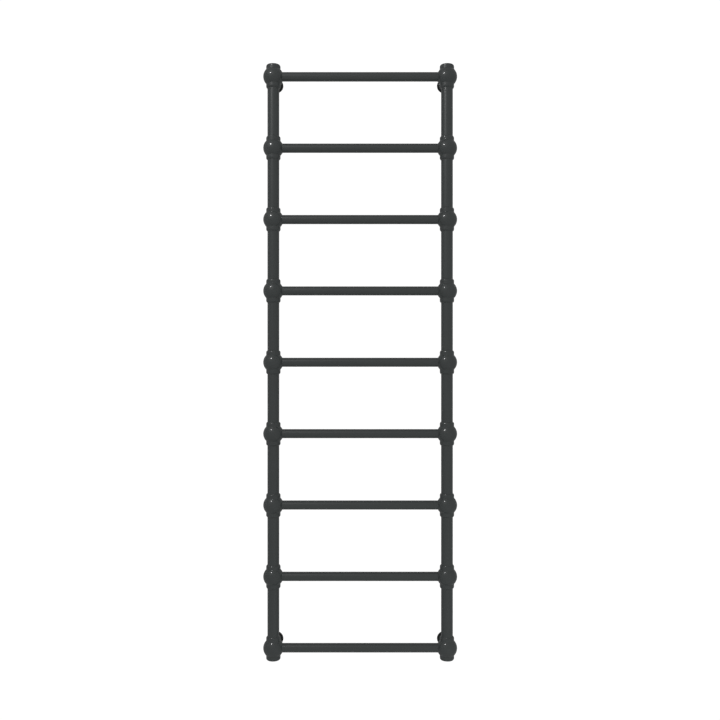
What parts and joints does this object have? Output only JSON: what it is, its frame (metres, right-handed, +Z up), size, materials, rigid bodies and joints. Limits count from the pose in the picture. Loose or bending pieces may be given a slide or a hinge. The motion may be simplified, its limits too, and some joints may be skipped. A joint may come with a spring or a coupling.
{
  "type": "towel warmer rack",
  "caption": "Wall-hung ladder towel rail: hollow round bars plugged into ball joints on two tubular uprights, held off the wall by stems with sliding round covers.",
  "frame": {"origin": "on the wall face, at the centre of the four wall plates", "axes": "+Z up, +X to the right of a person facing the rail, +Y into the wall"},
  "size_m": [0.4834, 0.0952, 1.482],
  "materials": {
    "ball_coat": "satin anthracite powder coat",
    "tube_coat": "satin anthracite powder coat",
    "rose_coat": "satin anthracite powder coat",
    "plug_coat": "satin anthracite powder coat",
    "brass": "turned",
    "rubber": "matt black",
    "black_steel": "black oxide",
    "zinc_steel": "bright zinc plate"
  },
  "bodies": {
    "rail": {"ball_left_1": "ball_coat", "ball_left_2": "ball_coat", "ball_left_3": "ball_coat", "ball_left_4": "ball_coat", "ball_left_5": "ball_coat", "ball_left_6": "ball_coat", "ball_left_7": "ball_coat", "ball_left_8": "ball_coat", "ball_left_9": "ball_coat", "ball_right_1": "ball_coat", "ball_right_2": "ball_coat", "ball_right_3": "ball_coat", "ball_right_4": "ball_coat", "ball_right_5": "ball_coat", "ball_right_6": "ball_coat", "ball_right_7": "ball_coat", "ball_right_8": "ball_coat", "ball_right_9": "ball_coat", "upright_left_1": "tube_coat", "upright_left_2": "tube_coat", "upright_left_3": "tube_coat", "upright_left_4": "tube_coat", "upright_left_5": "tube_coat", "upright_left_6": "tube_coat", "upright_left_7": "tube_coat", "upright_left_8": "tube_coat", "upright_right_1": "tube_coat", "upright_right_2": "tube_coat", "upright_right_3": "tube_coat", "upright_right_4": "tube_coat", "upright_right_5": "tube_coat", "upright_right_6": "tube_coat", "upright_right_7": "tube_coat", "upright_right_8": "tube_coat", "bar_1": "tube_coat", "bar_2": "tube_coat", "bar_3": "tube_coat", "bar_4": "tube_coat", "bar_5": "tube_coat", "bar_6": "tube_coat", "bar_7": "tube_coat", "bar_8": "tube_coat", "bar_9": "tube_coat", "stem_top_left": "tube_coat", "stem_top_right": "tube_coat", "stem_bottom_left": "tube_coat", "stem_bottom_right": "tube_coat", "wall_plates": "zinc_steel", "grub_screws": "black_steel", "blanking_plug": "plug_coat", "vent_plug": "plug_coat", "plug_washers": "rubber"},
    "rose_top_left": {"rose_top_left": "rose_coat"},
    "rose_top_right": {"rose_top_right": "rose_coat"},
    "rose_bottom_left": {"rose_bottom_left": "rose_coat"},
    "rose_bottom_right": {"rose_bottom_right": "rose_coat"},
    "bleed_seal": {"vent_ring": "rubber"},
    "bleed_screw": {"vent_spindle": "brass"}
  },
  "joints": [
    {"name": "rose_slide_top_left", "type": "slide", "parent": "rail", "child": "rose_top_left", "axis": [0, -1, 0], "range_m": [0, 0.0365]},
    {"name": "rose_slide_top_right", "type": "slide", "parent": "rail", "child": "rose_top_right", "axis": [0, -1, 0], "range_m": [0, 0.0365]},
    {"name": "rose_slide_bottom_left", "type": "slide", "parent": "rail", "child": "rose_bottom_left", "axis": [0, -1, 0], "range_m": [0, 0.0365]},
    {"name": "rose_slide_bottom_right", "type": "slide", "parent": "rail", "child": "rose_bottom_right", "axis": [0, -1, 0], "range_m": [0, 0.0365]},
    {"name": "bleed_lift", "type": "slide", "parent": "rail", "child": "bleed_seal", "axis": [0, 0, 1], "range_m": [0, 0.001]},
    {"name": "bleed_turn", "type": "hinge", "parent": "bleed_seal", "child": "bleed_screw", "pos_m": [0.2165, -0.07, 0.712], "axis": [0, 0, 1], "range_deg": [0, 360]}
  ],
  "couplings": [
    {"joint": "bleed_turn", "follows": "bleed_lift", "rad_per_m": 6283.2}
  ]
}
